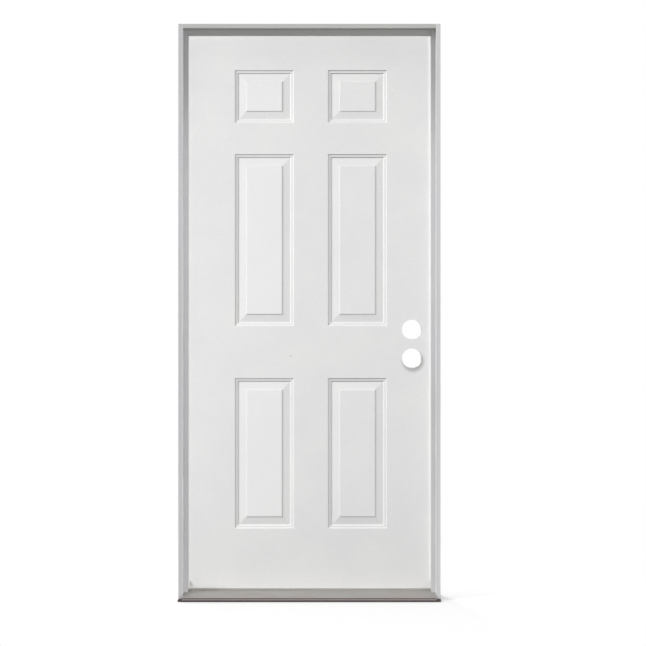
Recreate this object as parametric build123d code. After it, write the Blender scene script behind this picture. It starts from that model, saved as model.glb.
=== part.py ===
from build123d import *
import os

# Six-panel steel entry door in its rebated wooden frame, inward opening, hinged on the left.
# Millimetres. X to the right seen from outside, outside at -Y, Z up.
# Origin: middle of the frame's underside, half-way through the jamb's depth.

# Door slab
SLAB_WIDTH = 908.0
SLAB_HEIGHT = 2032.0
SLAB_THICK = 44.5
SKIN = 0.7
SKIN_RETURN = 12.5
STILE_WIDTH = 31.3
RAIL_HEIGHT = 32.0

# Frame
JAMB_DEPTH = 116.0
EDGE_GAP = 3.2
SIDE_EDGE = 19.05
HEAD_EDGE = 22.25
FRONT_EDGE = 16.0
STOP_STEP = 12.7
FRONT_REBATE = 35.0
SEAL_SPACE = 8.0
SEAL_SHOW = 3.0
ARRIS = 1.2
KERF_WIDTH = 3.0
KERF_DEPTH = 10.0
KERF_INSET = 1.8

# Sill
SLAB_LIFT = 38.1
SILL_NOSE = 30.0
DECK_SHEET = 2.0
NOSE_WALL = 4.4
DECK_FRONT_TOP = 17.5
DECK_REAR_TOP = 27.0
LEG_FOOT = 7.5
CAP_FRONT = 8.0
CAP_SEAT = 24.0
CAP_TOP = 31.4

# Pressed panels, from the photograph; the low pair takes what is left of the slab's height
PANEL_WIDTH = 217.2
MULLION = 124.7
PANEL_SHIFT = 4.25
TOP_RAIL = 133.6
TOP_PANEL = 194.4
UPPER_RAIL = 114.3
MIDDLE_PANEL = 631.8
LOCK_RAIL = 191.5
LOW_RAIL = 213.6
# Inward distance from the pressing's outer edge, and depth below the face
PRESSING = (
    (0.0, 0.0), (0.8, 0.4), (2.5, 3.2), (3.6, 3.9), (9.2, 4.0), (10.3, 4.7),
    (12.6, 7.4), (13.8, 7.9), (15.6, 7.8), (41.8, 3.3), (43.8, 0.9), (45.2, 0.6),
)

# Lock preparation
BORE_RADIUS = 36.0
BORE_BACKSET = 78.7
LOCK_BORE_RISE = 839.1
BORE_SPACING = 105.9
EDGE_BORE_RADIUS = 12.7
FACEPLATE = (57.2, 25.4, 2.4)
STRIKE_HOLE_DEPTH = 13.0
BLOCK_MARGIN = 14.0
BLOCK_HEIGHT = 420.0

# Hinges
HINGE_HEIGHT = 101.6
LEAF_THICK = 2.4
LEAF_REACH = 46.0
LEAF_CORNER = 15.9
PIN_PROUD = 9.0
KNUCKLE_RADIUS = 6.9
KNUCKLES = 5
PIN_RADIUS = 3.9
PIN_CLEARANCE = 0.08
HINGE_DROP_TOP = 178.0
HINGE_LIFT_LOW = 280.0
SCREW_RADIUS = 2.1
SCREW_HEAD = 4.3
LEAF_SCREW = 17.0
SCREW_MARGIN = 9.0
SCREW_STAGGER = 16.0
SCREW_OUTER = 38.0
SCREW_INNER = 27.0

PAD_HEIGHT = 30.0

# Fits
CLEAR = 0.3
SCREW_FIT = 0.15

# Derived levels and planes
OUT_Y = -JAMB_DEPTH / 2
IN_Y = JAMB_DEPTH / 2
FACE_Y = IN_Y - SLAB_THICK
MID_Y = IN_Y - SLAB_THICK / 2
STOP_BACK_Y = FACE_Y - SEAL_SPACE
STOP_FRONT_Y = OUT_Y + FRONT_REBATE
NOSE_Y = OUT_Y - SILL_NOSE
HALF_SLAB = SLAB_WIDTH / 2
REBATE_X = HALF_SLAB + EDGE_GAP
HALF_FRAME = REBATE_X + SIDE_EDGE
STOP_X = REBATE_X - STOP_STEP
FRONT_X = HALF_FRAME - FRONT_EDGE
SLAB_TOP = SLAB_LIFT + SLAB_HEIGHT
REBATE_Z = SLAB_TOP + EDGE_GAP
FRAME_TOP = REBATE_Z + HEAD_EDGE
STOP_Z = REBATE_Z - STOP_STEP
FRONT_Z = FRAME_TOP - FRONT_EDGE
STILE_X = HALF_SLAB - SKIN - STILE_WIDTH
BORE_X = HALF_SLAB - BORE_BACKSET
LOCK_BORE_Z = SLAB_LIFT + LOCK_BORE_RISE
DEADBOLT_BORE_Z = LOCK_BORE_Z + BORE_SPACING
PIN_X = -HALF_SLAB - EDGE_GAP / 2
PIN_Y = IN_Y + PIN_PROUD
PAD_TOP = CAP_TOP + PAD_HEIGHT
LEAF_END_Y = PIN_Y - LEAF_REACH


def box(x0, x1, y0, y1, z0, z1):
    centre = Pos((x0 + x1) / 2, (y0 + y1) / 2, (z0 + z1) / 2)
    return centre * Box(x1 - x0, y1 - y0, z1 - z0)


def outline(points, rounds=()):
    """A flat face through the points, with the corners in rounds filleted by ARRIS."""
    face = make_face(Polyline(*points, close=True))
    picked = [v for v in face.vertices() for r in rounds if abs(v.X - r[0]) + abs(v.Y - r[1]) < 0.01]
    return fillet(picked, ARRIS) if picked else face


def prism_z(points, z0, z1, rounds=()):
    return extrude(Plane.XY.offset(z0) * outline(points, rounds), z1 - z0)


def prism_x(points, x0, x1, rounds=()):
    return extrude(Plane.YZ.offset(x0) * outline(points, rounds), x1 - x0)


def rod(start, axis, radius, length):
    return Plane(origin=start, z_dir=axis) * Cylinder(radius, length, align=(Align.CENTER, Align.CENTER, Align.MIN))


def flip_x(shape):
    return mirror(shape, Plane.YZ)


def joined(parts):
    whole = parts[0]
    for part in parts[1:]:
        whole = whole + part
    return whole


def panel_boxes():
    """Left, right, bottom and top of the six pressings."""
    boxes = []
    left = PANEL_SHIFT - MULLION / 2 - PANEL_WIDTH
    right = PANEL_SHIFT + MULLION / 2
    top = SLAB_TOP - TOP_RAIL
    middle = top - TOP_PANEL - UPPER_RAIL
    low = middle - MIDDLE_PANEL - LOCK_RAIL
    rows = ((top - TOP_PANEL, top), (middle - MIDDLE_PANEL, middle), (SLAB_LIFT + LOW_RAIL, low))
    for z0, z1 in rows:
        for x in (left, right):
            boxes.append((x, x + PANEL_WIDTH, z0, z1))
    return boxes


def ring(panel, inset, y):
    x0, x1, z0, z1 = panel
    x0, x1, z0, z1 = x0 + inset, x1 - inset, z0 + inset, z1 - inset
    return [Vector(x0, y, z0), Vector(x1, y, z0), Vector(x1, y, z1), Vector(x0, y, z1)]


def flat_face(corners, holes=()):
    return Face(Wire.make_polygon(corners, close=True), [Wire.make_polygon(h, close=True) for h in holes])


def pressed_surface(rect, plane_y, inward):
    """The faces of one side of the slab inside rect, pressed inward along Y by the panel profile."""
    panels = panel_boxes()
    faces = [flat_face(ring(rect, 0, plane_y), [ring(p, 0, plane_y) for p in panels])]
    for panel in panels:
        rings = [ring(panel, u, plane_y + inward * depth) for u, depth in PRESSING]
        for outer, inner in zip(rings, rings[1:]):
            for i in range(4):
                j = (i + 1) % 4
                faces.append(flat_face([outer[i], outer[j], inner[j], inner[i]]))
        faces.append(flat_face(rings[-1]))
    return faces


def walls(rect, y0, y1):
    near, far = ring(rect, 0, y0), ring(rect, 0, y1)
    return [flat_face([near[i], near[(i + 1) % 4], far[(i + 1) % 4], far[i]]) for i in range(4)]


def closed(faces):
    solid = Solid(Shell(faces))
    return solid if solid.volume > 0 else -solid


# Cutters shared by the door's parts
def cross_bores():
    return [rod((BORE_X, FACE_Y - 5, z), (0, 1, 0), BORE_RADIUS, SLAB_THICK + 10) for z in (LOCK_BORE_Z, DEADBOLT_BORE_Z)]


def edge_bores():
    cuts = []
    tall, wide, deep = FACEPLATE
    for z in (LOCK_BORE_Z, DEADBOLT_BORE_Z):
        cuts.append(rod((BORE_X, MID_Y, z), (1, 0, 0), EDGE_BORE_RADIUS, BORE_BACKSET + 1))
        cuts.append(box(HALF_SLAB - deep, HALF_SLAB + 1, MID_Y - wide / 2, MID_Y + wide / 2, z - tall / 2, z + tall / 2))
    return cuts


def hinge_heights():
    top = SLAB_TOP - HINGE_DROP_TOP - HINGE_HEIGHT / 2
    low = SLAB_LIFT + HINGE_LIFT_LOW
    return {"top": top, "middle": (top + low) / 2, "low": low}


def leaf_blank(face_x, side, z, grow=0.0):
    """A hinge leaf's plate with its two rounded corners; side is +1 on the door, -1 on the jamb."""
    reach = IN_Y + 1.4 if grow == 0 else IN_Y + 1
    tall = HINGE_HEIGHT + 2 * grow
    length = reach - LEAF_END_Y + grow
    plate = Plane(origin=(face_x, LEAF_END_Y - grow + length / 2, z), x_dir=(0, 1, 0), z_dir=(side, 0, 0)) * Rectangle(length, tall)
    corners = [v for v in plate.vertices() if v.Y < LEAF_END_Y + 1]
    return extrude(fillet(corners, LEAF_CORNER), LEAF_THICK)


def leaf_screw_spots(z):
    near = LEAF_END_Y + SCREW_MARGIN
    far = near + SCREW_STAGGER
    return [(near, z + SCREW_INNER), (far, z + SCREW_OUTER), (far, z - SCREW_OUTER), (near, z - SCREW_INNER)]


def screw_head(start, side, fit=0.0):
    """The countersunk head, as deep as the leaf is thick."""
    base = Plane(origin=start, z_dir=(side, 0, 0))
    return base * Cone(SCREW_HEAD + fit, SCREW_RADIUS + fit, LEAF_THICK, align=(Align.CENTER, Align.CENTER, Align.MIN))


def screw_shank(start, side, fit=0.0):
    """The shank past the leaf, eight-sided to stay light, since it never shows."""
    base = Plane(origin=(start[0] + side * LEAF_THICK, start[1], start[2]), z_dir=(side, 0, 0))
    return base * extrude(RegularPolygon(SCREW_RADIUS + fit, 8), LEAF_SCREW - LEAF_THICK + fit)


def screw_starts(face_x):
    return [(face_x, y, spot) for z in hinge_heights().values() for y, spot in leaf_screw_spots(z)]


def leaf_screws(face_x, side):
    return [screw_head(start, side) + screw_shank(start, side) for start in screw_starts(face_x)]


def pilot_holes(face_x, side):
    return [screw_shank(start, side, SCREW_FIT) for start in screw_starts(face_x)]


def knuckle(z, index):
    pitch = HINGE_HEIGHT / KNUCKLES
    start = z - HINGE_HEIGHT / 2 + index * pitch + CLEAR / 2
    return start, pitch - CLEAR


def hinge_leaf(face_x, side, z, owned):
    leaf = leaf_blank(face_x, side, z)
    x0, x1 = sorted((face_x, face_x + side * LEAF_THICK))
    for index in owned:
        start, tall = knuckle(z, index)
        leaf = leaf + box(x0, x1, IN_Y, PIN_Y - 4, start, start + tall)
        leaf = leaf + rod((PIN_X, PIN_Y, start), (0, 0, 1), KNUCKLE_RADIUS, tall)
    leaf = leaf - rod((PIN_X, PIN_Y, z - HINGE_HEIGHT), (0, 0, 1), PIN_RADIUS + PIN_CLEARANCE, 2 * HINGE_HEIGHT)
    for y, spot in leaf_screw_spots(z):
        leaf = leaf - screw_head((face_x, y, spot), side, SCREW_FIT)
    return leaf


def hinge_pin(z):
    low = z - HINGE_HEIGHT / 2
    shank = rod((PIN_X, PIN_Y, low), (0, 0, 1), PIN_RADIUS, HINGE_HEIGHT + 0.2)
    button = rod((PIN_X, PIN_Y, z + HINGE_HEIGHT / 2 + 0.15), (0, 0, 1), KNUCKLE_RADIUS - 0.6, 3.2)
    return chamfer((shank + button).edges().filter_by(GeomType.CIRCLE).sort_by(Axis.Z)[-1], 1.0)


# Frame
def leg_points(kerf=True):
    slot = []
    if kerf:
        k1 = REBATE_X - KERF_INSET
        k0 = k1 - KERF_WIDTH
        end = STOP_BACK_Y - KERF_DEPTH
        slot = [(k0, STOP_BACK_Y), (k0, end), (k1, end), (k1, STOP_BACK_Y)]
    return [
        (HALF_FRAME, OUT_Y), (FRONT_X, OUT_Y), (FRONT_X, STOP_FRONT_Y), (STOP_X, STOP_FRONT_Y),
        (STOP_X, STOP_BACK_Y), *slot, (REBATE_X, STOP_BACK_Y), (REBATE_X, IN_Y), (HALF_FRAME, IN_Y),
    ]


def leg_arrises():
    return [(HALF_FRAME, OUT_Y), (FRONT_X, OUT_Y), (STOP_X, STOP_FRONT_Y), (STOP_X, STOP_BACK_Y), (REBATE_X, IN_Y)]


def leg():
    return prism_z(leg_points(), LEG_FOOT, FRAME_TOP, leg_arrises())


def strike_jamb():
    tall, wide, deep = FACEPLATE
    post = leg()
    for z in (LOCK_BORE_Z, DEADBOLT_BORE_Z):
        post = post - box(REBATE_X - 1, REBATE_X + deep, MID_Y - wide / 2, IN_Y + 1, z - tall / 2, z + tall / 2)
        post = post - rod((REBATE_X, MID_Y, z), (1, 0, 0), EDGE_BORE_RADIUS, deep + STRIKE_HOLE_DEPTH)
    return post


def hinge_jamb():
    post = flip_x(leg())
    for z in hinge_heights().values():
        post = post - leaf_blank(-REBATE_X, -1, z, 0.1)
    for hole in pilot_holes(-REBATE_X, -1):
        post = post - hole
    return post


def head_jamb():
    k1 = REBATE_Z - KERF_INSET
    k0 = k1 - KERF_WIDTH
    end = STOP_BACK_Y - KERF_DEPTH
    points = [
        (OUT_Y, FRAME_TOP), (OUT_Y, FRONT_Z), (STOP_FRONT_Y, FRONT_Z), (STOP_FRONT_Y, STOP_Z),
        (STOP_BACK_Y, STOP_Z), (STOP_BACK_Y, k0), (end, k0), (end, k1), (STOP_BACK_Y, k1),
        (STOP_BACK_Y, REBATE_Z), (IN_Y, REBATE_Z), (IN_Y, FRAME_TOP),
    ]
    rounds = [points[0], points[1], points[3], points[4], points[10]]
    head = prism_x(points, -HALF_FRAME, HALF_FRAME, rounds)
    cope = prism_z(leg_points(False), STOP_Z - HEAD_EDGE, FRAME_TOP + HEAD_EDGE)
    return head - cope - flip_x(cope)


def bulb_points(wall):
    """Section of the kerf seal against the rebate wall at coordinate wall, in (across, Y)."""
    back, step = STOP_BACK_Y, STOP_STEP
    low = wall - step - SEAL_SHOW
    high = wall - CLEAR
    front = FACE_Y - CLEAR
    base = back + CLEAR
    barb1 = wall - KERF_INSET - CLEAR
    barb0 = barb1 - KERF_WIDTH + 2 * CLEAR
    return [
        (low, base), (low, front - 2.6), (low + 0.8, front - 0.8), (low + 2.6, front), (high - 2.4, front),
        (high - 0.7, front - 0.8), (high, front - 2.6), (high, base), (barb1, base),
        (barb1, back - KERF_DEPTH + CLEAR), (barb0, back - KERF_DEPTH + CLEAR), (barb0, base),
    ]


def side_seal():
    return prism_z(bulb_points(REBATE_X), PAD_TOP + CLEAR, REBATE_Z - CLEAR)


def head_seal():
    half = STOP_X - SEAL_SHOW - CLEAR
    section = [(y, across) for across, y in bulb_points(REBATE_Z)]
    return prism_x(section, -half, half)


def corner_pads():
    pad = box(STOP_X - SEAL_SHOW, REBATE_X - CLEAR, STOP_BACK_Y + CLEAR, FACE_Y - CLEAR, CAP_TOP + CLEAR, PAD_TOP)
    pad = chamfer(pad.edges().filter_by(Axis.Z).group_by(Axis.Y)[-1], 1.5)
    return [pad, flip_x(pad)]


# Sill
def deck_top(y):
    run = (y - (NOSE_Y + 4)) / (CAP_FRONT - (NOSE_Y + 4))
    return DECK_FRONT_TOP + run * (DECK_REAR_TOP - DECK_FRONT_TOP)


def deck_section():
    """Section of the aluminium deck, with the groove and the lip of its nose."""
    rear = CAP_FRONT - CLEAR
    under = DECK_SHEET * 1.006
    inner = NOSE_Y + NOSE_WALL
    return [
        (rear, deck_top(rear)), (NOSE_Y + 4, DECK_FRONT_TOP), (NOSE_Y + 1.6, DECK_FRONT_TOP - 0.5),
        (NOSE_Y + 0.4, DECK_FRONT_TOP - 1.6), (NOSE_Y + 2.4, DECK_FRONT_TOP - 2.2), (NOSE_Y + 2.4, 12.8),
        (NOSE_Y, 12.2), (NOSE_Y, 8.0), (NOSE_Y + 1.6, 5.6), (inner, 5.6), (inner, deck_top(inner) - under),
        (rear, deck_top(rear) - under),
    ]


def leg_footprint(grow):
    """The leg's section grown for clearance, and the space in front of it, to cut the deck and the substrate."""
    x0, x1, x2, far = STOP_X - grow, FRONT_X - grow, REBATE_X - grow, HALF_FRAME + 1
    return [
        (far, NOSE_Y - 1), (x1, NOSE_Y - 1), (x1, STOP_FRONT_Y - grow), (x0, STOP_FRONT_Y - grow),
        (x0, STOP_BACK_Y + grow), (x2, STOP_BACK_Y + grow), (x2, IN_Y + 1), (far, IN_Y + 1),
    ]


def sill_deck():
    deck = prism_x(deck_section(), -HALF_FRAME, HALF_FRAME)
    notch = prism_z(leg_footprint(CLEAR), 0, 60)
    return deck - notch - flip_x(notch)


def sill_substrate():
    under = DECK_SHEET * 1.006
    inner = NOSE_Y + NOSE_WALL
    points = [
        (inner, 0), (inner, deck_top(inner) - under), (CAP_FRONT, deck_top(CAP_FRONT) - under),
        (CAP_FRONT, CAP_SEAT), (IN_Y, CAP_SEAT), (IN_Y, 0),
    ]
    block = prism_x(points, -HALF_FRAME, HALF_FRAME)
    notch = prism_z(leg_footprint(CLEAR), LEG_FOOT, 60)
    return block - notch - flip_x(notch)


def sill_cap():
    half = REBATE_X - CLEAR
    cap = box(-half, half, CAP_FRONT, IN_Y, CAP_SEAT, CAP_TOP)
    return fillet(cap.edges().filter_by(Axis.X).group_by(Axis.Z)[-1], 1.0)


# Door
def slab_rect():
    return (-HALF_SLAB, HALF_SLAB, SLAB_LIFT, SLAB_TOP)


def skin(plane_y, inward):
    rect = slab_rect()
    back_y = plane_y + inward * SKIN
    faces = pressed_surface(rect, plane_y, inward) + pressed_surface(rect, back_y, inward)
    sheet = closed(faces + walls(rect, plane_y, back_y))
    y0, y1 = sorted((back_y, plane_y + inward * SKIN_RETURN))
    fold = box(HALF_SLAB - SKIN, HALF_SLAB, y0, y1, SLAB_LIFT, SLAB_TOP)
    sheet = sheet + fold + flip_x(fold)
    for cut in cross_bores() + edge_bores():
        sheet = sheet - cut
    for z in hinge_heights().values():
        sheet = sheet - leaf_blank(-HALF_SLAB, 1, z, 0.1)
    return sheet


def stile():
    return box(STILE_X, HALF_SLAB - SKIN, FACE_Y + SKIN, IN_Y - SKIN, SLAB_LIFT, SLAB_TOP)


def lock_stile():
    wood = stile()
    for cut in edge_bores():
        wood = wood - cut
    return wood


def hinge_stile():
    wood = flip_x(stile())
    for z in hinge_heights().values():
        wood = wood - leaf_blank(-HALF_SLAB, 1, z, 0.1)
    for hole in pilot_holes(-HALF_SLAB, 1):
        wood = wood - hole
    return wood


def lock_block_box():
    middle = (LOCK_BORE_Z + DEADBOLT_BORE_Z) / 2
    low = BORE_X - BORE_RADIUS - BLOCK_MARGIN
    return box(low, STILE_X, FACE_Y + SKIN, IN_Y - SKIN, middle - BLOCK_HEIGHT / 2, middle + BLOCK_HEIGHT / 2)


def lock_block():
    wood = lock_block_box()
    for cut in cross_bores() + edge_bores():
        wood = wood - cut
    return wood


def foam_core():
    rect = (-STILE_X, STILE_X, SLAB_LIFT + RAIL_HEIGHT, SLAB_TOP - RAIL_HEIGHT)
    near, far = FACE_Y + SKIN, IN_Y - SKIN
    faces = pressed_surface(rect, near, 1) + pressed_surface(rect, far, -1) + walls(rect, near, far)
    return closed(faces) - lock_block_box()


SWEEP_BARBS = (MID_Y - 11.0, MID_Y + 11.0)


def top_rail():
    return box(-STILE_X, STILE_X, FACE_Y + SKIN, IN_Y - SKIN, SLAB_TOP - RAIL_HEIGHT, SLAB_TOP)


def bottom_rail():
    rail = box(-STILE_X, STILE_X, FACE_Y + SKIN, IN_Y - SKIN, SLAB_LIFT, SLAB_LIFT + RAIL_HEIGHT)
    for y in SWEEP_BARBS:
        rail = rail - box(-HALF_SLAB, HALF_SLAB, y - 1.5, y + 1.5, SLAB_LIFT - 1, SLAB_LIFT + 9)
    return rail


def door_sweep():
    half = HALF_SLAB - 1.0
    low = CAP_TOP + CLEAR
    plate = box(-half, half, FACE_Y + 0.2, IN_Y - 1.0, SLAB_LIFT - 2.4, SLAB_LIFT)
    fins = [box(-half, half, y, y + 1.4, low, SLAB_LIFT - 2.4) for y in (FACE_Y + 0.2, MID_Y - 6, MID_Y + 6, IN_Y - 2.4)]
    barb_half = STILE_X - 2.0
    barbs = [box(-barb_half, barb_half, y - 1.2, y + 1.2, SLAB_LIFT, SLAB_LIFT + 8) for y in SWEEP_BARBS]
    return joined([plate] + fins + barbs)


def nodes():
    made = {
        "hinge_jamb": hinge_jamb(), "strike_jamb": strike_jamb(), "head_jamb": head_jamb(),
        "sill_substrate": sill_substrate(), "sill_deck": sill_deck(), "sill_cap": sill_cap(),
        "seal_hinge_side": flip_x(side_seal()), "seal_strike_side": side_seal(), "seal_head": head_seal(),
        "seal_corner_pads": Compound(children=corner_pads()),
        "exterior_skin": skin(FACE_Y, 1), "interior_skin": skin(IN_Y, -1), "foam_core": foam_core(),
        "hinge_stile": hinge_stile(), "lock_stile": lock_stile(), "lock_block": lock_block(),
        "top_rail": top_rail(), "bottom_rail": bottom_rail(), "door_sweep": door_sweep(),
        "jamb_hinge_screws": Compound(children=leaf_screws(-REBATE_X, -1)),
        "door_hinge_screws": Compound(children=leaf_screws(-HALF_SLAB, 1)),
    }
    for name, z in hinge_heights().items():
        made["hinge_" + name + "_jamb_leaf"] = hinge_leaf(-REBATE_X, -1, z, (0, 2, 4))
        made["hinge_" + name + "_door_leaf"] = hinge_leaf(-HALF_SLAB, 1, z, (1, 3))
        made["hinge_" + name + "_pin"] = hinge_pin(z)
    return made


os.makedirs("parts", exist_ok=True)
for name, shape in nodes().items():
    export_step(shape, "parts/" + name + ".step")
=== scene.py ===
import math

import bpy
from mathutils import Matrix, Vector


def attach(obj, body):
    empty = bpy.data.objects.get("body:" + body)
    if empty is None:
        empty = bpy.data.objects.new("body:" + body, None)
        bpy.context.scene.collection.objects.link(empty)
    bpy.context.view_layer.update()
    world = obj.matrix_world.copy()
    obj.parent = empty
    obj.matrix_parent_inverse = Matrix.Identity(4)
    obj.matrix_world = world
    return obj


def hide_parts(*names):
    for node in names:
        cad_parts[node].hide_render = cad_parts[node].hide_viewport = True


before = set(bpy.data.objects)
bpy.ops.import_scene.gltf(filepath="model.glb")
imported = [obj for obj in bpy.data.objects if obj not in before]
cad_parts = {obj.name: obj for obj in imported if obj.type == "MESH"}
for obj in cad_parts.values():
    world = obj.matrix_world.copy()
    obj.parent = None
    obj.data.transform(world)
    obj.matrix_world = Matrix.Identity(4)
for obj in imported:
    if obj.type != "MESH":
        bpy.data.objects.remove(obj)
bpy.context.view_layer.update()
print("frame loaded")


# Small helpers for node trees
def newMaterial(name):
    material = bpy.data.materials.new(name)
    material.use_nodes = True
    tree = material.node_tree
    return material, tree, tree.nodes["Principled BSDF"]


# A socket is linked and a plain value is set
def feed(tree, value, socket):
    if isinstance(value, bpy.types.NodeSocket):
        tree.links.new(value, socket)
    else:
        socket.default_value = value


def addNode(tree, kind, settings=None, **inputs):
    node = tree.nodes.new(kind)
    for key, value in (settings or {}).items():
        setattr(node, key, value)
    for key, value in inputs.items():
        feed(tree, value, node.inputs[key.replace("_", " ")])
    return node


def mixColour(tree, factor, first, second):
    node = addNode(tree, "ShaderNodeMix", {"data_type": "RGBA"})
    for socket, value in ((node.inputs[0], factor), (node.inputs[6], first), (node.inputs[7], second)):
        feed(tree, value, socket)
    return node.outputs[2]


def mapRange(tree, value, low, high, toLow, toHigh):
    node = tree.nodes.new("ShaderNodeMapRange")
    tree.links.new(value, node.inputs["Value"])
    for key, number in (("From Min", low), ("From Max", high), ("To Min", toLow), ("To Max", toHigh)):
        node.inputs[key].default_value = number
    return node.outputs["Result"]


# A mask of 0 to 1 made weaker
def weaker(tree, mask, share):
    return mapRange(tree, mask, 0, 1, 0.0, share)


def compute(tree, operation, first, second=0.0):
    node = addNode(tree, "ShaderNodeMath", {"operation": operation})
    for socket, value in zip(node.inputs, (first, second)):
        feed(tree, value, socket)
    return node.outputs[0]


# The mask where every test holds, and 0 elsewhere
def keepWhere(tree, mask, tests):
    for value, operation, limit in tests:
        mask = compute(tree, "MULTIPLY", mask, compute(tree, operation, value, limit))
    return mask


# A colour given as 0..255 screen values, as linear light
def fromScreen(r, g, b):
    def linear(c):
        c = c / 255
        return c / 12.92 if c <= 0.04045 else ((c + 0.055) / 1.055) ** 2.4
    return (linear(r), linear(g), linear(b), 1.0)


# Effects that several finishes share
def newGroup(name, inputs, outputs):
    group = bpy.data.node_groups.new(name, "ShaderNodeTree")
    for label, kind, value in inputs:
        socket = group.interface.new_socket(label, in_out="INPUT", socket_type=kind)
        socket.default_value = value
    for label, kind in outputs:
        group.interface.new_socket(label, in_out="OUTPUT", socket_type=kind)
    start = group.nodes.new("NodeGroupInput")
    end = group.nodes.new("NodeGroupOutput")
    return group, start.outputs, end.inputs


def objectPoint(tree, scale=(1, 1, 1)):
    place = tree.nodes.new("ShaderNodeTexCoord")
    mapping = tree.nodes.new("ShaderNodeMapping")
    mapping.inputs["Scale"].default_value = scale
    tree.links.new(place.outputs["Object"], mapping.inputs["Vector"])
    return mapping.outputs["Vector"]


# X, Y and Z in the frame that all pieces share
def objectAxes(tree):
    place = tree.nodes.new("ShaderNodeTexCoord")
    axes = tree.nodes.new("ShaderNodeSeparateXYZ")
    tree.links.new(place.outputs["Object"], axes.inputs[0])
    return axes.outputs


# Object coordinates drawn out by a vector input, so that a pattern runs along one axis
def stretchedPoint(tree, stretch):
    place = tree.nodes.new("ShaderNodeTexCoord")
    stretched = addNode(tree, "ShaderNodeVectorMath", {"operation": "MULTIPLY"})
    tree.links.new(place.outputs["Object"], stretched.inputs[0])
    tree.links.new(stretch, stretched.inputs[1])
    return stretched.outputs["Vector"]


def addNoise(tree, point, seed, scale, detail, roughness, distortion=0.0):
    noise = addNode(tree, "ShaderNodeTexNoise", {"noise_dimensions": "4D"}, Vector=point, W=seed, Scale=scale,
                    Detail=detail, Roughness=roughness, Distortion=distortion)
    return noise.outputs["Fac"]


# Soft roller mottle, fine orange peel and a few dust specks, for every painted face
def makePaintSkinGroup():
    group, given, result = newGroup(
        "paintSkin",
        [("Mottle Size", "NodeSocketFloat", 9.0), ("Peel Size", "NodeSocketFloat", 900.0),
         ("Seed", "NodeSocketFloat", 0.0)],
        [("Mottle", "NodeSocketFloat"), ("Grit", "NodeSocketFloat"), ("Peel", "NodeSocketFloat"),
         ("Specks", "NodeSocketFloat")])
    point = objectPoint(group)
    broad = addNoise(group, point, given["Seed"], given["Mottle Size"], 5.0, 0.62)
    group.links.new(mapRange(group, broad, 0.3, 0.7, 0.0, 1.0), result["Mottle"])
    grit = addNoise(group, point, given["Seed"], 190.0, 3.0, 0.7)
    group.links.new(mapRange(group, grit, 0.3, 0.7, 0.0, 1.0), result["Grit"])
    fine = addNoise(group, point, given["Seed"], given["Peel Size"], 2.0, 0.5)
    group.links.new(fine, result["Peel"])
    dust = addNoise(group, point, given["Seed"], 160.0, 1.0, 0.4)
    group.links.new(mapRange(group, dust, 0.74, 0.80, 0.0, 1.0), result["Specks"])
    return group


# Wood grain that runs along one axis: long streaks and short pores
def makeGrainGroup():
    group, given, result = newGroup(
        "woodGrain",
        [("Stretch", "NodeSocketVector", (40.0, 40.0, 1.2)), ("Seed", "NodeSocketFloat", 0.0)],
        [("Streaks", "NodeSocketFloat"), ("Pores", "NodeSocketFloat")])
    point = stretchedPoint(group, given["Stretch"])
    streaks = addNoise(group, point, given["Seed"], 1.0, 6.0, 0.6, 0.4)
    group.links.new(mapRange(group, streaks, 0.3, 0.7, 0.0, 1.0), result["Streaks"])
    pores = addNoise(group, point, given["Seed"], 9.0, 3.0, 0.7)
    group.links.new(mapRange(group, pores, 0.45, 0.75, 0.0, 1.0), result["Pores"])
    return group


# Fine lines drawn along one axis, as a die or a belt leaves them on metal
def makeDrawnLinesGroup():
    group, given, result = newGroup(
        "drawnLines",
        [("Stretch", "NodeSocketVector", (2.0, 900.0, 900.0)), ("Seed", "NodeSocketFloat", 0.0)],
        [("Lines", "NodeSocketFloat"), ("Stains", "NodeSocketFloat")])
    lines = addNoise(group, stretchedPoint(group, given["Stretch"]), given["Seed"], 1.0, 4.0, 0.6)
    group.links.new(lines, result["Lines"])
    stains = addNoise(group, objectPoint(group), given["Seed"], 14.0, 4.0, 0.6)
    group.links.new(mapRange(group, stains, 0.4, 0.75, 0.0, 1.0), result["Stains"])
    return group


# 1 on the legs' front arrises, where a painted highlight goes, broken up along their length
def makeArrisRubGroup():
    group, given, result = newGroup(
        "arrisHighlight",
        [("Inner X", "NodeSocketFloat", 0.4590), ("Outer X", "NodeSocketFloat", 0.4612),
         ("Back Y", "NodeSocketFloat", -0.0235), ("Seed", "NodeSocketFloat", 0.0)],
        [("Highlight", "NodeSocketFloat")])
    axes = objectAxes(group)
    side = compute(group, "ABSOLUTE", axes["X"])
    along = addNoise(group, objectPoint(group, (30, 30, 6)), given["Seed"], 1.0, 3.0, 0.6)
    patchy = mapRange(group, along, 0.3, 0.6, 0.55, 1.0)
    arrisLight = keepWhere(group, patchy, (
        (side, "GREATER_THAN", given["Inner X"]), (side, "LESS_THAN", given["Outer X"]),
        (axes["Y"], "LESS_THAN", given["Back Y"])))
    group.links.new(arrisLight, result["Highlight"])
    return group
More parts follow.
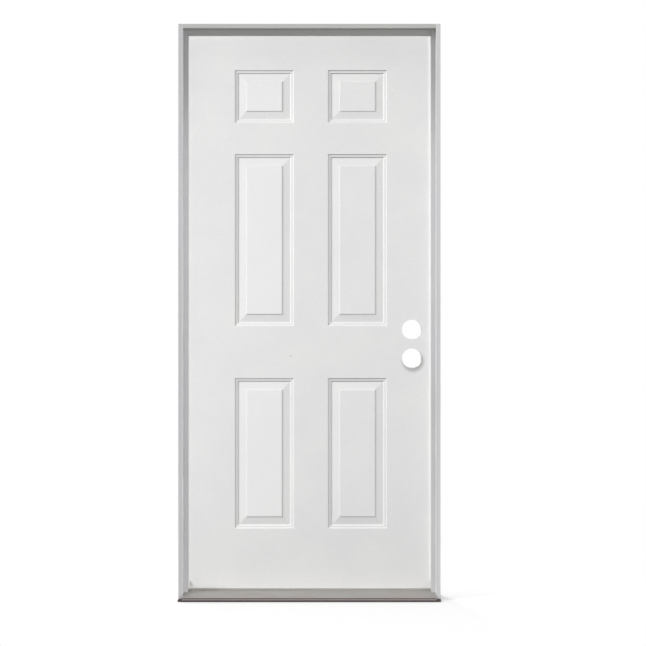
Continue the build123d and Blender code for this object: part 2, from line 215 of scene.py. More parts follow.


# 1 in the rebate behind the frame's front edge, most of it just under the head: a mask for painted shade
def makeRecessGroup():
    group, given, result = newGroup(
        "recessShade",
        [("Front Y", "NodeSocketFloat", -0.0240), ("Back Y", "NodeSocketFloat", 0.0058),
         ("Low Z", "NodeSocketFloat", 1.35), ("High Z", "NodeSocketFloat", 2.06), ("Least", "NodeSocketFloat", 0.0),
         ("Falloff Power", "NodeSocketFloat", 1.6),
         ("Outer X", "NodeSocketFloat", 0.4745), ("Outer Z", "NodeSocketFloat", 2.0940)],
        [("Painted Shade", "NodeSocketFloat")])
    axes = objectAxes(group)
    height = addNode(group, "ShaderNodeMapRange", {"interpolation_type": "SMOOTHERSTEP"}, Value=axes["Z"])
    for end, label in (("From Min", "Low Z"), ("From Max", "High Z"), ("To Min", "Least")):
        group.links.new(given[label], height.inputs[end])
    gathered = compute(group, "POWER", height.outputs[0], given["Falloff Power"])
    across = compute(group, "ABSOLUTE", axes["X"])
    rebateShade = keepWhere(group, gathered, (
        (axes["Y"], "GREATER_THAN", given["Front Y"]), (axes["Y"], "LESS_THAN", given["Back Y"]),
        (across, "LESS_THAN", given["Outer X"]), (axes["Z"], "LESS_THAN", given["Outer Z"])))
    group.links.new(rebateShade, result["Painted Shade"])
    return group


# The first output is 1 in the groove along the sill's nose and Lip is 1 on the nose below it; both carry painted
# shade
def makeNoseGrooveGroup():
    group, given, result = newGroup(
        "noseGroove",
        [("Low Z", "NodeSocketFloat", 0.0121), ("High Z", "NodeSocketFloat", 0.0155),
         ("Back Y", "NodeSocketFloat", -0.0840)],
        [("Painted Shade", "NodeSocketFloat"), ("Lip", "NodeSocketFloat")])
    axes = objectAxes(group)
    rebateShade = keepWhere(group, 1.0, (
        (axes["Z"], "GREATER_THAN", given["Low Z"]), (axes["Z"], "LESS_THAN", given["High Z"]),
        (axes["Y"], "LESS_THAN", given["Back Y"])))
    group.links.new(rebateShade, result["Painted Shade"])
    below = mapRange(group, axes["Z"], 0.0118, 0.0126, 1.0, 0.0)
    front = mapRange(group, axes["Y"], -0.0842, -0.0838, 1.0, 0.0)
    group.links.new(compute(group, "MULTIPLY", below, front), result["Lip"])
    return group


# A soft round patch about one point of the door's face: 1 in its middle, 0 beyond its reach
def makePatchGroup():
    group, given, result = newGroup(
        "softPatch",
        [("Middle", "NodeSocketVector", (0.39, 0.0, 0.86)), ("Stretch", "NodeSocketVector", (1.0, 0.0, 1.0)),
         ("Full", "NodeSocketFloat", 0.01), ("Reach", "NodeSocketFloat", 0.06)],
        [("Patch", "NodeSocketFloat")])
    place = group.nodes.new("ShaderNodeTexCoord")
    offset = addNode(group, "ShaderNodeVectorMath", {"operation": "SUBTRACT"})
    group.links.new(place.outputs["Object"], offset.inputs[0])
    group.links.new(given["Middle"], offset.inputs[1])
    scaled = addNode(group, "ShaderNodeVectorMath", {"operation": "MULTIPLY"})
    group.links.new(offset.outputs["Vector"], scaled.inputs[0])
    group.links.new(given["Stretch"], scaled.inputs[1])
    distance = addNode(group, "ShaderNodeVectorMath", {"operation": "LENGTH"})
    group.links.new(scaled.outputs["Vector"], distance.inputs[0])
    edge = addNode(group, "ShaderNodeMapRange", {"interpolation_type": "SMOOTHSTEP"}, Value=distance.outputs["Value"],
                   From_Min=given["Full"], From_Max=given["Reach"], To_Min=1.0, To_Max=0.0)
    group.links.new(edge.outputs[0], result["Patch"])
    return group


# Masks for one pressed panel: the sharp bends, for painted shade, and its field's face, for painted light
def makePressedEdgeGroup():
    group, given, result = newGroup(
        "pressedEdge",
        [("Left", "NodeSocketFloat", -0.2753), ("Right", "NodeSocketFloat", -0.0581),
         ("Low", "NodeSocketFloat", 0.996), ("High", "NodeSocketFloat", 1.6278),
         ("Outer", "NodeSocketFloat", 0.0017), ("Inner", "NodeSocketFloat", 0.0119),
         ("Field", "NodeSocketFloat", 0.0428), ("Half Width", "NodeSocketFloat", 0.0016),
         ("Face Inset", "NodeSocketFloat", 0.0026), ("Mitre Slack", "NodeSocketFloat", -0.0004)],
        [("Upper", "NodeSocketFloat"), ("Side", "NodeSocketFloat"), ("Field Line", "NodeSocketFloat"),
         ("Field Face", "NodeSocketFloat")])

    def reckon(operation, first, second=0.0):
        return compute(group, operation, first, second)

    axes = objectAxes(group)
    fromLeft = reckon("SUBTRACT", axes["X"], given["Left"])
    fromRight = reckon("SUBTRACT", given["Right"], axes["X"])
    fromLow = reckon("SUBTRACT", axes["Z"], given["Low"])
    fromHigh = reckon("SUBTRACT", given["High"], axes["Z"])
    nearSide = reckon("MINIMUM", fromLeft, fromRight)
    nearEnd = reckon("MINIMUM", fromLow, fromHigh)

    def band(distance, middle):
        gap = reckon("ABSOLUTE", reckon("SUBTRACT", distance, middle))
        return reckon("SUBTRACT", 1.0, reckon("MINIMUM", reckon("DIVIDE", gap, given["Half Width"]), 1.0))

    def within(first, second):
        return reckon("GREATER_THAN", reckon("SUBTRACT", first, second), given["Mitre Slack"])

    upper = reckon("MAXIMUM", band(fromHigh, given["Outer"]), band(fromHigh, given["Inner"]))
    group.links.new(reckon("MULTIPLY", upper, within(nearSide, fromHigh)), result["Upper"])
    side = reckon("MAXIMUM", band(fromLeft, given["Outer"]), band(fromLeft, given["Inner"]))
    group.links.new(reckon("MULTIPLY", side, within(nearEnd, fromLeft)), result["Side"])
    fieldRight = reckon("MULTIPLY", band(fromRight, given["Field"]), within(nearEnd, fromRight))
    fieldLow = reckon("MULTIPLY", band(fromLow, given["Field"]), within(nearSide, fromLow))
    group.links.new(reckon("MAXIMUM", fieldRight, fieldLow), result["Field Line"])
    inside = reckon("MINIMUM", nearSide, nearEnd)
    faceEdge = reckon("ADD", given["Field"], given["Face Inset"])
    group.links.new(reckon("GREATER_THAN", inside, faceEdge), result["Field Face"])
    return group


paintSkin = makePaintSkinGroup()
pressedEdge = makePressedEdgeGroup()
recessShade = makeRecessGroup()
noseGroove = makeNoseGrooveGroup()
softPatch = makePatchGroup()
arrisHighlight = makeArrisRubGroup()
woodGrain = makeGrainGroup()
drawnLines = makeDrawnLinesGroup()


def placeGroup(tree, group, **inputs):
    node = tree.nodes.new("ShaderNodeGroup")
    node.node_tree = group
    for key, value in inputs.items():
        node.inputs[key.replace("_", " ")].default_value = value
    return node


def addBump(tree, shader, height, strength, distance):
    bump = addNode(tree, "ShaderNodeBump", None, Height=height, Strength=strength, Distance=distance)
    tree.links.new(bump.outputs["Normal"], shader.inputs["Normal"])


# Primer on the door's two faces, what has marked it, and the painted shade and light on it, in shares of 1
doorPaint = {
    "low": fromScreen(226, 226, 227), "high": fromScreen(233, 233, 232), "roughness": (0.50, 0.60),
    "mottleSize": 5.0, "peelSize": 700.0, "peelStrength": 0.10, "peelDepth": 0.0004,
    "grit": fromScreen(218, 218, 217), "gritShare": 0.5, "speck": fromScreen(205, 204, 201),
    "lowShade": fromScreen(206, 205, 202), "lowShadeHeights": (0.03, 0.40), "lowShadeShare": 0.12,     # painted shade: darker towards the sill
    # painted light on the strip just under the head, against the head's shade
    "underHeadLight": fromScreen(250, 250, 250), "underHeadLightHeights": (2.00, 2.068), "underHeadLightShare": 0.5,
    # painted shade in the pressed bends, and painted light on the fields' faces
    "bendShade": fromScreen(96, 96, 95), "sideBendShade": 0.26, "fieldLineShade": 0.42, "fieldLight": fromScreen(240, 240, 240),
}
# Per column: the share of painted shade on the upper bends and of painted light on the field faces
pressedPanels = {
    "columns": (
        {"left": -0.2753, "right": -0.0581, "upperBendShade": 0.48, "fieldLightShare": 0.45},
        {"left": 0.0666, "right": 0.2838, "upperBendShade": 0.78, "fieldLightShare": 0.10},
    ),
    "rows": ((0.2517, 0.8045), (0.9960, 1.6278), (1.7421, 1.9365)),
}
doorMarksAndShadow = {
    # a painted shadow at the lower right of the lower lock bore; the scuff below is a real mark
    "lockBoreShadow": {"colour": fromScreen(150, 149, 147), "share": 0.72, "middle": (0.3800, 0.0135, 0.8675),
                  "stretch": (1.0, 1.0, 1.0), "full": 0.029, "reach": 0.049},
    "scuff": {"colour": fromScreen(150, 148, 146), "share": 0.36, "middle": (-0.0690, 0.0135, 0.8860),
              "stretch": (0.7, 1.0, 1.3), "full": 0.0005, "reach": 0.0065},
}


def makePrimedSteel():
    look = doorPaint
    material, tree, shader = newMaterial("primedSteel")
    skin = placeGroup(tree, paintSkin, Mottle_Size=look["mottleSize"], Peel_Size=look["peelSize"], Seed=1.0)
    colour = mixColour(tree, skin.outputs["Mottle"], look["low"], look["high"])
    colour = mixColour(tree, weaker(tree, skin.outputs["Grit"], look["gritShare"]), colour, look["grit"])
    colour = mixColour(tree, skin.outputs["Specks"], colour, look["speck"])
    axes = objectAxes(tree)
    # Painted shade: the face grows darker towards the sill
    lowShade = mapRange(tree, axes["Z"], *look["lowShadeHeights"], look["lowShadeShare"], 0.0)
    colour = mixColour(tree, lowShade, colour, look["lowShade"])
    # Painted light: the face grows paler just under the head
    underHeadLight = mapRange(tree, axes["Z"], *look["underHeadLightHeights"], 0.0, look["underHeadLightShare"])
    colour = mixColour(tree, underHeadLight, colour, look["underHeadLight"])
    for column in pressedPanels["columns"]:
        bends = (("Upper", column["upperBendShade"]), ("Side", look["sideBendShade"]), ("Field Line", look["fieldLineShade"]))
        for low, high in pressedPanels["rows"]:
            edge = placeGroup(tree, pressedEdge, Left=column["left"], Right=column["right"], Low=low, High=high)
            # painted light on the field's face, stronger on the left column
            fieldLight = weaker(tree, edge.outputs["Field Face"], column["fieldLightShare"])
            colour = mixColour(tree, fieldLight, colour, look["fieldLight"])
            # painted shade in the bends
            for label, share in bends:
                colour = mixColour(tree, weaker(tree, edge.outputs[label], share), colour, look["bendShade"])
    # The lock bore's patch is a painted shadow, the scuff a real mark
    for spotLook in doorMarksAndShadow.values():
        patch = placeGroup(tree, softPatch, Middle=spotLook["middle"], Stretch=spotLook["stretch"], Full=spotLook["full"],
                           Reach=spotLook["reach"])
        colour = mixColour(tree, weaker(tree, patch.outputs["Patch"], spotLook["share"]), colour, spotLook["colour"])
    tree.links.new(colour, shader.inputs["Base Color"])
    tree.links.new(mapRange(tree, skin.outputs["Mottle"], 0, 1, *look["roughness"]), shader.inputs["Roughness"])
    addBump(tree, shader, skin.outputs["Peel"], look["peelStrength"], look["peelDepth"])
    return material


# Primer on the frame's timber; the strike leg's copy is paler as painted light, and the head's greyer as painted
# shade
legLook = {
    "low": fromScreen(174, 174, 174), "high": fromScreen(194, 194, 194), "tint": fromScreen(187, 187, 193),
    "arrisHighlightColour": fromScreen(232, 232, 232), "rebateShade": fromScreen(146, 146, 147), "leastRebateShade": 0.0,
}
litStrikeLegLook = {
    "low": fromScreen(183, 183, 182), "high": fromScreen(204, 204, 203), "tint": fromScreen(196, 196, 201),
    "arrisHighlightColour": fromScreen(236, 236, 236), "rebateShade": fromScreen(156, 156, 156), "leastRebateShade": 0.0,
}
shadedHeadLook = {
    "low": fromScreen(162, 163, 159), "high": fromScreen(188, 189, 184), "tint": fromScreen(178, 178, 177),
    "arrisHighlightColour": fromScreen(186, 186, 183), "rebateShade": fromScreen(147, 147, 145), "leastRebateShade": 1.0,
}


def makePrimedTimber(name, look, stretch, seed):
    material, tree, shader = newMaterial(name)
    grain = placeGroup(tree, woodGrain, Stretch=stretch, Seed=seed)
    skin = placeGroup(tree, paintSkin, Mottle_Size=6.0, Peel_Size=800.0, Seed=seed)
    arrisLight = placeGroup(tree, arrisHighlight, Seed=seed)
    recess = placeGroup(tree, recessShade, Least=look["leastRebateShade"])
    colour = mixColour(tree, grain.outputs["Streaks"], look["low"], look["high"])
    colour = mixColour(tree, weaker(tree, skin.outputs["Mottle"], 0.7), colour, look["tint"])
    # painted highlight on the legs' front arrises
    colour = mixColour(tree, arrisLight.outputs["Highlight"], colour, look["arrisHighlightColour"])
    # painted shade in the rebate, most of it under the head
    colour = mixColour(tree, recess.outputs["Painted Shade"], colour, look["rebateShade"])
    tree.links.new(colour, shader.inputs["Base Color"])
    tree.links.new(mapRange(tree, skin.outputs["Mottle"], 0, 1, 0.48, 0.62), shader.inputs["Roughness"])
    addBump(tree, shader, grain.outputs["Pores"], 0.25, 0.0003)
    return material


sillMetal = {
    "low": fromScreen(152, 151, 148), "high": fromScreen(198, 194, 190), "stain": fromScreen(160, 150, 144),
    # the groove and lip colours are painted shade on the sill's nose
    "stainShare": 0.5, "groove": fromScreen(104, 97, 96), "lip": fromScreen(126, 118, 117),
    "metallic": 0.6, "roughness": (0.38, 0.52),
}


def makeMillAluminium():
    look = sillMetal
    material, tree, shader = newMaterial("millAluminium")
    drawn = placeGroup(tree, drawnLines, Stretch=(3.0, 700.0, 700.0), Seed=3.0)
    groove = placeGroup(tree, noseGroove)
    colour = mixColour(tree, drawn.outputs["Lines"], look["low"], look["high"])
    colour = mixColour(tree, weaker(tree, drawn.outputs["Stains"], look["stainShare"]), colour, look["stain"])
    # painted shade in the nose's groove and on its lip
    colour = mixColour(tree, groove.outputs["Painted Shade"], colour, look["groove"])
    colour = mixColour(tree, groove.outputs["Lip"], colour, look["lip"])
    tree.links.new(colour, shader.inputs["Base Color"])
    shader.inputs["Metallic"].default_value = look["metallic"]
    tree.links.new(mapRange(tree, drawn.outputs["Lines"], 0.3, 0.7, *look["roughness"]), shader.inputs["Roughness"])
    addBump(tree, shader, drawn.outputs["Lines"], 0.2, 0.0002)
    return material


def makeComposite(name, low, high, seed):
    material, tree, shader = newMaterial(name)
    grain = placeGroup(tree, woodGrain, Stretch=(9.0, 120.0, 120.0), Seed=seed)
    colour = mixColour(tree, grain.outputs["Streaks"], low, high)
    tree.links.new(colour, shader.inputs["Base Color"])
    tree.links.new(mapRange(tree, grain.outputs["Pores"], 0, 1, 0.6, 0.75), shader.inputs["Roughness"])
    addBump(tree, shader, grain.outputs["Pores"], 0.3, 0.0003)
    return material


def makeSoftVinyl(name, low, high, seed):
    material, tree, shader = newMaterial(name)
    skin = placeGroup(tree, paintSkin, Mottle_Size=40.0, Peel_Size=1500.0, Seed=seed)
    tree.links.new(mixColour(tree, skin.outputs["Mottle"], low, high), shader.inputs["Base Color"])
    tree.links.new(mapRange(tree, skin.outputs["Peel"], 0.3, 0.7, 0.55, 0.70), shader.inputs["Roughness"])
    addBump(tree, shader, skin.outputs["Peel"], 0.15, 0.0002)
    return material


# Pine that shows at the slab's edges and in the two lock bores, where primer is sprayed on it
bareWood = {
    "early": fromScreen(232, 212, 176), "late": fromScreen(206, 176, 130), "pore": fromScreen(168, 132, 90),
    "poreShare": 0.4, "primer": fromScreen(236, 236, 234),
    "boreX": 0.3753, "boreHeights": (0.8772, 0.9831), "primerReach": (0.0363, 0.0370),
}


def makeBareTimber():
    look = bareWood
    material, tree, shader = newMaterial("bareTimber")
    grain = placeGroup(tree, woodGrain, Stretch=(70.0, 70.0, 2.0), Seed=7.0)
    colour = mixColour(tree, grain.outputs["Streaks"], look["early"], look["late"])
    colour = mixColour(tree, weaker(tree, grain.outputs["Pores"], look["poreShare"]), colour, look["pore"])
    full, reach = look["primerReach"]
    for boreZ in look["boreHeights"]:
        spray = placeGroup(tree, softPatch, Middle=(look["boreX"], 0.0, boreZ), Full=full, Reach=reach)
        colour = mixColour(tree, spray.outputs["Patch"], colour, look["primer"])
    tree.links.new(colour, shader.inputs["Base Color"])
    tree.links.new(mapRange(tree, grain.outputs["Pores"], 0, 1, 0.62, 0.8), shader.inputs["Roughness"])
    addBump(tree, shader, grain.outputs["Streaks"], 0.3, 0.0004)
    return material


def makeFoam():
    low, high = fromScreen(222, 206, 150), fromScreen(240, 228, 184)
    material, tree, shader = newMaterial("pouredFoam")
    cells = addNode(tree, "ShaderNodeTexVoronoi", None, Vector=objectPoint(tree), Scale=900.0)
    tree.links.new(mixColour(tree, cells.outputs["Distance"], low, high), shader.inputs["Base Color"])
    shader.inputs["Roughness"].default_value = 0.9
    addBump(tree, shader, cells.outputs["Distance"], 0.5, 0.0004)
    return material


def makePlatedSteel(name, low, high, seed, stretch):
    material, tree, shader = newMaterial(name)
    drawn = placeGroup(tree, drawnLines, Stretch=stretch, Seed=seed)
    colour = mixColour(tree, drawn.outputs["Lines"], low, high)
    colour = mixColour(tree, weaker(tree, drawn.outputs["Stains"], 0.35), colour, low)
    tree.links.new(colour, shader.inputs["Base Color"])
    shader.inputs["Metallic"].default_value = 1.0
    tree.links.new(mapRange(tree, drawn.outputs["Lines"], 0.3, 0.7, 0.30, 0.46), shader.inputs["Roughness"])
    addBump(tree, shader, drawn.outputs["Lines"], 0.15, 0.0001)
    return material


finishes = {
    "primedSteel": makePrimedSteel(),
    "legTimber": makePrimedTimber("primedLegTimber", legLook, (60.0, 60.0, 1.5), 2.0),
    # paler and greyer copies of the same primer: painted light on the strike leg, painted shade on the head
    "strikeLegTimberLit": makePrimedTimber("primedStrikeLegTimberLit", litStrikeLegLook, (60.0, 60.0, 1.5), 2.0),
    "headTimberShaded": makePrimedTimber("primedHeadTimberShaded", shadedHeadLook, (1.5, 60.0, 60.0), 5.0),
    "millAluminium": makeMillAluminium(),
    "substrate": makeComposite("darkComposite", fromScreen(52, 42, 40), fromScreen(76, 64, 60), 11.0),
    "cap": makeComposite("greyComposite", fromScreen(142, 140, 134), fromScreen(162, 160, 153), 12.0),
    "seal": makeSoftVinyl("paleSealJacket", fromScreen(218, 218, 216), fromScreen(228, 228, 226), 13.0),
    # a paler copy of the seal jacket on the head and strike side: a painted highlight along the slab's edge
    "highlightSeal": makeSoftVinyl("paleSealJacketHighlight", fromScreen(243, 243, 241), fromScreen(250, 250, 248), 17.0),
    "sweep": makeSoftVinyl("paleSweepVinyl", fromScreen(218, 218, 216), fromScreen(228, 228, 226), 14.0),
    "bareTimber": makeBareTimber(),
    "foam": makeFoam(),
    "hingePlate": makePlatedSteel(
        "satinZincPlate", fromScreen(178, 176, 170), fromScreen(206, 204, 199), 15.0, (900.0, 900.0, 30.0)),
    "screwPlate": makePlatedSteel(
        "screwZincPlate", fromScreen(188, 180, 150), fromScreen(214, 206, 178), 16.0, (300.0, 300.0, 300.0)),
}
print("finishes made")


# The CAD nodes keep their shape and get their finish
nodeFinish = {
    "hinge_jamb": "legTimber", "strike_jamb": "strikeLegTimberLit", "head_jamb": "headTimberShaded",
    "sill_substrate": "substrate", "sill_deck": "millAluminium", "sill_cap": "cap",
    "seal_hinge_side": "seal", "seal_strike_side": "highlightSeal", "seal_head": "highlightSeal",
    "seal_corner_pads": "seal",
    "exterior_skin": "primedSteel", "interior_skin": "primedSteel", "foam_core": "foam",
    "hinge_stile": "bareTimber", "lock_stile": "bareTimber", "lock_block": "bareTimber",
    "top_rail": "bareTimber", "bottom_rail": "cap", "door_sweep": "sweep",
    "jamb_hinge_screws": "screwPlate", "door_hinge_screws": "screwPlate",
}
for name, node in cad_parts.items():
    finish = finishes[nodeFinish.get(name, "hingePlate")]
    node.data.materials.clear()
    node.data.materials.append(finish)


# Hinge screws: countersunk, cross recessed, ringed shank, one tree for the jamb's leaves and the door's
hingeScrews = {
    "headRadius": 0.0043, "headDepth": 0.0024, "shankRadius": 0.0021, "length": 0.017,
    "recessWidth": 0.0012, "recessReach": 0.0025, "recessDepth": 0.0015, "ringPitch": 0.0016, "tipRadius": 0.0002,
    "turnSeed": 4, "turnMost": 1.57,
    "hingeHeights": (0.3181, 1.0797, 1.8413),
    "spots": ((0.030, 0.027), (0.046, 0.038), (0.046, -0.038), (0.030, -0.027)),     # y, and z from a hinge's middle
    "rows": {
        "jambLeafScrews": {"x": -0.4572, "facing": (1, 0, 0), "body": "frame", "replaced": "jamb_hinge_screws"},
        "doorLeafScrews": {"x": -0.4540, "facing": (-1, 0, 0), "body": "door", "replaced": "door_hinge_screws"},
    },
}

screwLengths = {      # the tree's inputs and the sizes that fill them
    "Head Radius": "headRadius", "Head Depth": "headDepth", "Shank Radius": "shankRadius", "Length": "length",
    "Recess Width": "recessWidth", "Recess Reach": "recessReach", "Recess Depth": "recessDepth",
    "Ring Pitch": "ringPitch", "Tip Radius": "tipRadius", "Turn Most": "turnMost",
}


def makeScrewTree():
    headSides, shankSides, ringCount = 40, 16, 8
    tree = bpy.data.node_groups.new("crossHeadScrews", "GeometryNodeTree")
    tree.interface.new_socket("Geometry", in_out="INPUT", socket_type="NodeSocketGeometry")
    for label in screwLengths:
        tree.interface.new_socket(label, in_out="INPUT", socket_type="NodeSocketFloat")
    tree.interface.new_socket("Facing", in_out="INPUT", socket_type="NodeSocketVector")
    tree.interface.new_socket("Turn Seed", in_out="INPUT", socket_type="NodeSocketInt")
    tree.interface.new_socket("Finish", in_out="INPUT", socket_type="NodeSocketMaterial")
    tree.interface.new_socket("Geometry", in_out="OUTPUT", socket_type="NodeSocketGeometry")
    given = tree.nodes.new("NodeGroupInput").outputs

    def join(value, socket):
        feed(tree, value, socket)

    def times(first, second):
        return compute(tree, "MULTIPLY", first, second)

    def vector(x=0.0, y=0.0, z=0.0):
        node = tree.nodes.new("ShaderNodeCombineXYZ")
        for socket, value in zip(node.inputs, (x, y, z)):
            join(value, socket)
        return node.outputs[0]

    def moved(geometry, offset):
        node = tree.nodes.new("GeometryNodeTransform")
        join(geometry, node.inputs["Geometry"])
        join(offset, node.inputs["Translation"])
        return node.outputs[0]

    def cone(top, bottom, depth, sides):
        node = tree.nodes.new("GeometryNodeMeshCone")
        node.inputs["Vertices"].default_value = sides
        join(top, node.inputs["Radius Top"])
        join(bottom, node.inputs["Radius Bottom"])
        join(depth, node.inputs["Depth"])
        return node.outputs["Mesh"]

    below = times(given["Head Depth"], -1.0)
    head = moved(cone(given["Head Radius"], given["Shank Radius"], given["Head Depth"], headSides), vector(z=below))
    recess = addNode(tree, "GeometryNodeMeshBoolean", {"operation": "DIFFERENCE"})
    join(head, recess.inputs["Mesh 1"])
    reach = times(given["Recess Reach"], 2.0)
    deep = times(given["Recess Depth"], 2.0)
    shallower = times(deep, 0.9)      # the two cuts' floors stay apart, so the cut stays clean
    for size in (vector(reach, given["Recess Width"], deep), vector(given["Recess Width"], reach, shallower)):
        bar = tree.nodes.new("GeometryNodeMeshCube")
        join(size, bar.inputs["Size"])
        tree.links.new(bar.outputs["Mesh"], recess.inputs["Mesh 2"])

    ringRadius = times(given["Shank Radius"], 0.78)
    ring = cone(given["Shank Radius"], ringRadius, times(given["Ring Pitch"], 1.02), shankSides)
    line = tree.nodes.new("GeometryNodeMeshLine")
    line.inputs["Count"].default_value = ringCount
    join(vector(z=compute(tree, "SUBTRACT", below, given["Ring Pitch"])), line.inputs["Start Location"])
    join(vector(z=times(given["Ring Pitch"], -1.0)), line.inputs["Offset"])
    rings = tree.nodes.new("GeometryNodeInstanceOnPoints")
    join(line.outputs["Mesh"], rings.inputs["Points"])
    join(ring, rings.inputs["Instance"])
    shank = compute(tree, "SUBTRACT", given["Length"], given["Head Depth"])
    tipDepth = compute(tree, "SUBTRACT", shank, times(given["Ring Pitch"], ringCount - 0.2))
    tipTop = times(ringRadius, 0.9)      # the tip starts inside the last ring
    tip = moved(cone(tipTop, given["Tip Radius"], tipDepth, shankSides), vector(z=times(given["Length"], -1.0)))
    screw = tree.nodes.new("GeometryNodeJoinGeometry")
    for part in (recess.outputs["Mesh"], rings.outputs[0], tip):
        tree.links.new(part, screw.inputs[0])

    turn = addNode(tree, "FunctionNodeRandomValue", {"data_type": "FLOAT"})
    low, high = [socket for socket in turn.inputs if socket.name in ("Min", "Max") and socket.type == "VALUE"]
    low.default_value = 0.0
    join(given["Turn Most"], high)
    join(given["Turn Seed"], turn.inputs["Seed"])
    spin = tree.nodes.new("FunctionNodeAxisAngleToRotation")
    spin.inputs["Axis"].default_value = (0, 0, 1)
    join([socket for socket in turn.outputs if socket.type == "VALUE"][0], spin.inputs["Angle"])
    aligned = addNode(tree, "FunctionNodeAlignRotationToVector", {"axis": "Z"}, Vector=given["Facing"])
    turned = addNode(tree, "FunctionNodeRotateRotation", {"rotation_space": "LOCAL"})
    join(aligned.outputs[0], turned.inputs[0])
    join(spin.outputs[0], turned.inputs[1])

    placed = tree.nodes.new("GeometryNodeInstanceOnPoints")
    join(given["Geometry"], placed.inputs["Points"])
    join(screw.outputs[0], placed.inputs["Instance"])
    join(turned.outputs[0], placed.inputs["Rotation"])
    real = tree.nodes.new("GeometryNodeRealizeInstances")
    join(placed.outputs[0], real.inputs[0])
    finish = tree.nodes.new("GeometryNodeSetMaterial")
    join(real.outputs[0], finish.inputs["Geometry"])
    join(given["Finish"], finish.inputs["Material"])
    end = tree.nodes.new("NodeGroupOutput")
    join(finish.outputs[0], end.inputs[0])
    return tree


def makeScrewRow(name, row, tree):
    points = [(row["x"], y, height + z) for height in hingeScrews["hingeHeights"] for y, z in hingeScrews["spots"]]
    mesh = bpy.data.meshes.new(name + "Points")
    mesh.from_pydata(points, [], [])
    source = bpy.data.objects.new(name + "Points", mesh)
    bpy.context.scene.collection.objects.link(source)
    modifier = source.modifiers.new("screws", "NODES")
    modifier.node_group = tree
    values = {"Facing": row["facing"], "Turn Seed": hingeScrews["turnSeed"], "Finish": finishes["screwPlate"]}
    for label, size in screwLengths.items():
        values[label] = hingeScrews[size]
    for item in tree.interface.items_tree:
        if item.in_out == "INPUT" and item.name in values:
            modifier[item.identifier] = values[item.name]
    depsgraph = bpy.context.evaluated_depsgraph_get()
    finished = bpy.data.meshes.new_from_object(source.evaluated_get(depsgraph))
    bpy.data.objects.remove(source)
    finished.materials.clear()
    finished.materials.append(finishes["screwPlate"])
    piece = bpy.data.objects.new(name, finished)
    bpy.context.scene.collection.objects.link(piece)
    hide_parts(row["replaced"])
    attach(piece, row["body"])
    print(name, len(finished.polygons), "faces")


screwTree = makeScrewTree()
for name, row in hingeScrews["rows"].items():
    makeScrewRow(name, row, screwTree)
print("hinge screws made")


# Studio: white floor and background, key from the upper left, soft fills
studio = {
    "floorSize": 60.0, "floorFade": (0.45, 1.1), "floorFadeShape": (0.8, 1.0, 0.0), "floorPaint": 0.8,
    "floorLift": 0.22, "floorBounce": 0.16, "worldLight": 0.7,
}
faceLamps = {      # these light the door's outer face and the seals round it, and pass the frame
    "sideKey": {"place": (-5.2, -2.6, 4.2), "aim": (0, 0, 1.05), "size": 0.9, "power": 284.0},
    "poolLight": {"place": (-1.9, -1.5, 0.45), "aim": (0.1, 0, 0.7), "size": 0.9, "power": 9.5},
    "lowFill": {"place": (2.2, -3.6, 0.5), "aim": (-0.2, 0, 0.6), "size": 1.6, "power": 22.0},
    "rightFill": {"place": (3.6, -3.6, 2.4), "aim": (0, 0, 1.05), "size": 1.5, "power": 32.0},
}
frameLamps = {     # these light all the rest
    "frameKey": {"place": (-10.4, -5.2, 7.35), "aim": (0, 0, 1.05), "size": 1.8, "power": 660.0},
    "frameFill": {"place": (0, -7.0, 1.3), "aim": (0, 0, 1.05), "size": 3.0, "power": 138.0},
    "frameLowFill": {"place": (5.6, -6.2, 0.4), "aim": (-0.2, 0, 0.9), "size": 3.2, "power": 205.0},
}
backLamps = {      # these light the room side
    "roomFill": {"place": (-4.8, 10.8, 5.8), "aim": (0, 0, 1.0), "size": 4.0, "power": 860.0},
}
camera = {
    "place": (0.0795, -5.9865, 1.154), "lens": 90.97, "sensor": 36.0,
    "imagePixels": 646, "axisPixel": (331.3, 283.0),
}


# 1 for rays of the camera, of reflections and of views through glass, otherwise 0
def seenRay(tree):
    path = addNode(tree, "ShaderNodeLightPath")
    seen = path.outputs["Is Camera Ray"]
    for ray in ("Is Glossy Ray", "Is Transmission Ray"):
        seen = compute(tree, "MAXIMUM", seen, path.outputs[ray])
    return seen


def setWorld():
    world = bpy.data.worlds.new("studioWorld")
    bpy.context.scene.world = world
    world.use_nodes = True
    tree = world.node_tree
    tree.nodes.clear()
    light = addNode(tree, "ShaderNodeBackground", None, Color=(1, 1, 1, 1), Strength=studio["worldLight"])
    white = addNode(tree, "ShaderNodeBackground", None, Color=(1, 1, 1, 1), Strength=1.0)
    mix = tree.nodes.new("ShaderNodeMixShader")
    tree.links.new(seenRay(tree), mix.inputs[0])
    tree.links.new(light.outputs[0], mix.inputs[1])
    tree.links.new(white.outputs[0], mix.inputs[2])
    out = tree.nodes.new("ShaderNodeOutputWorld")
    tree.links.new(mix.outputs[0], out.inputs[0])


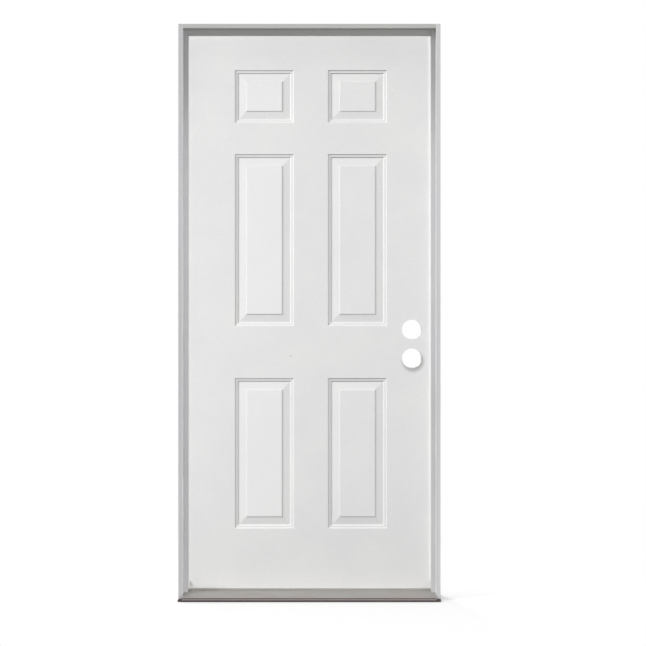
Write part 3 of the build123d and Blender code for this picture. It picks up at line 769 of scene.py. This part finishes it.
# A white floor that shows the object's soft shadow near it and is plain white further off
def addFloor():
    half = studio["floorSize"] / 2
    mesh = bpy.data.meshes.new("studioFloor")
    corners = [(-half, -half, 0), (half, -half, 0), (half, half, 0), (-half, half, 0)]
    mesh.from_pydata(corners, [], [(0, 1, 2, 3)])
    floor = bpy.data.objects.new("studioFloor", mesh)
    bpy.context.scene.collection.objects.link(floor)
    material, tree, shader = newMaterial("whiteFloor")
    shader.inputs["Base Color"].default_value = (studio["floorPaint"],) * 3 + (1,)
    shader.inputs["Roughness"].default_value = 0.9
    shader.inputs["Specular IOR Level"].default_value = 0.1
    lift = addNode(tree, "ShaderNodeEmission", None, Color=(1, 1, 1, 1), Strength=studio["floorLift"])
    lifted = tree.nodes.new("ShaderNodeAddShader")
    tree.links.new(shader.outputs[0], lifted.inputs[0])
    tree.links.new(lift.outputs[0], lifted.inputs[1])
    place = tree.nodes.new("ShaderNodeTexCoord")
    flat = addNode(tree, "ShaderNodeVectorMath", {"operation": "MULTIPLY"})
    tree.links.new(place.outputs["Object"], flat.inputs[0])
    flat.inputs[1].default_value = studio["floorFadeShape"]
    reach = addNode(tree, "ShaderNodeVectorMath", {"operation": "LENGTH"})
    tree.links.new(flat.outputs["Vector"], reach.inputs[0])
    fade = mapRange(tree, reach.outputs["Value"], *studio["floorFade"], 0.0, 1.0)
    white = addNode(tree, "ShaderNodeEmission", None, Color=(1, 1, 1, 1), Strength=1.0)
    seenFloor = tree.nodes.new("ShaderNodeMixShader")
    tree.links.new(fade, seenFloor.inputs[0])
    tree.links.new(lifted.outputs[0], seenFloor.inputs[1])
    tree.links.new(white.outputs[0], seenFloor.inputs[2])
    mix = tree.nodes.new("ShaderNodeMixShader")
    bounce = addNode(tree, "ShaderNodeBsdfDiffuse", None, Color=(studio["floorBounce"],) * 3 + (1,))
    tree.links.new(seenRay(tree), mix.inputs[0])
    tree.links.new(bounce.outputs[0], mix.inputs[1])
    tree.links.new(seenFloor.outputs[0], mix.inputs[2])
    tree.links.new(mix.outputs[0], tree.nodes["Material Output"].inputs["Surface"])
    mesh.materials.append(material)


def addLamp(name, settings):
    lamp = bpy.data.lights.new(name, "AREA")
    lamp.shape = "DISK"
    lamp.size = settings["size"]
    lamp.energy = settings["power"]
    lampObject = bpy.data.objects.new(name, lamp)
    lampObject.location = settings["place"]
    direction = Vector(settings["aim"]) - Vector(settings["place"])
    lampObject.rotation_euler = direction.to_track_quat("-Z", "Y").to_euler()
    bpy.context.scene.collection.objects.link(lampObject)
    return lampObject


def linkSet(label, names, state):
    chosen = bpy.data.collections.new(label)
    for name in names:
        chosen.objects.link(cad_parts[name])
    for entry in chosen.collection_objects:
        entry.light_linking.link_state = state
    return chosen


# The door's outer face takes no shadow from its frame, so it has lamps of its own that pass the frame
frameShell = ["hinge_jamb", "strike_jamb", "head_jamb", "seal_hinge_side", "seal_strike_side", "seal_head"]
ownLight = ["exterior_skin", "seal_hinge_side", "seal_strike_side", "seal_head", "seal_corner_pads"]


def addCamera():
    data = bpy.data.cameras.new("frontCamera")
    data.lens = camera["lens"]
    data.sensor_width = camera["sensor"]
    middle = camera["imagePixels"] / 2
    data.shift_x = (middle - camera["axisPixel"][0]) / camera["imagePixels"]
    data.shift_y = (camera["axisPixel"][1] - middle) / camera["imagePixels"]
    data.clip_end = 100.0
    cameraObject = bpy.data.objects.new("frontCamera", data)
    cameraObject.location = camera["place"]
    cameraObject.rotation_euler = (math.radians(90), 0, 0)
    bpy.context.scene.collection.objects.link(cameraObject)
    bpy.context.scene.camera = cameraObject


setWorld()
addFloor()
faceOnly = linkSet("faceOnly", ownLight, "INCLUDE")
allButFace = linkSet("allButFace", ownLight, "EXCLUDE")
passedFrame = linkSet("passedFrame", frameShell, "EXCLUDE")
for name, settings in faceLamps.items():
    linking = addLamp(name, settings).light_linking
    linking.receiver_collection = faceOnly
    linking.blocker_collection = passedFrame
for name, settings in frameLamps.items():
    addLamp(name, settings).light_linking.receiver_collection = allButFace
for name, settings in backLamps.items():
    addLamp(name, settings)
addCamera()
bpy.context.scene.view_settings.view_transform = "Standard"
print("studio set")
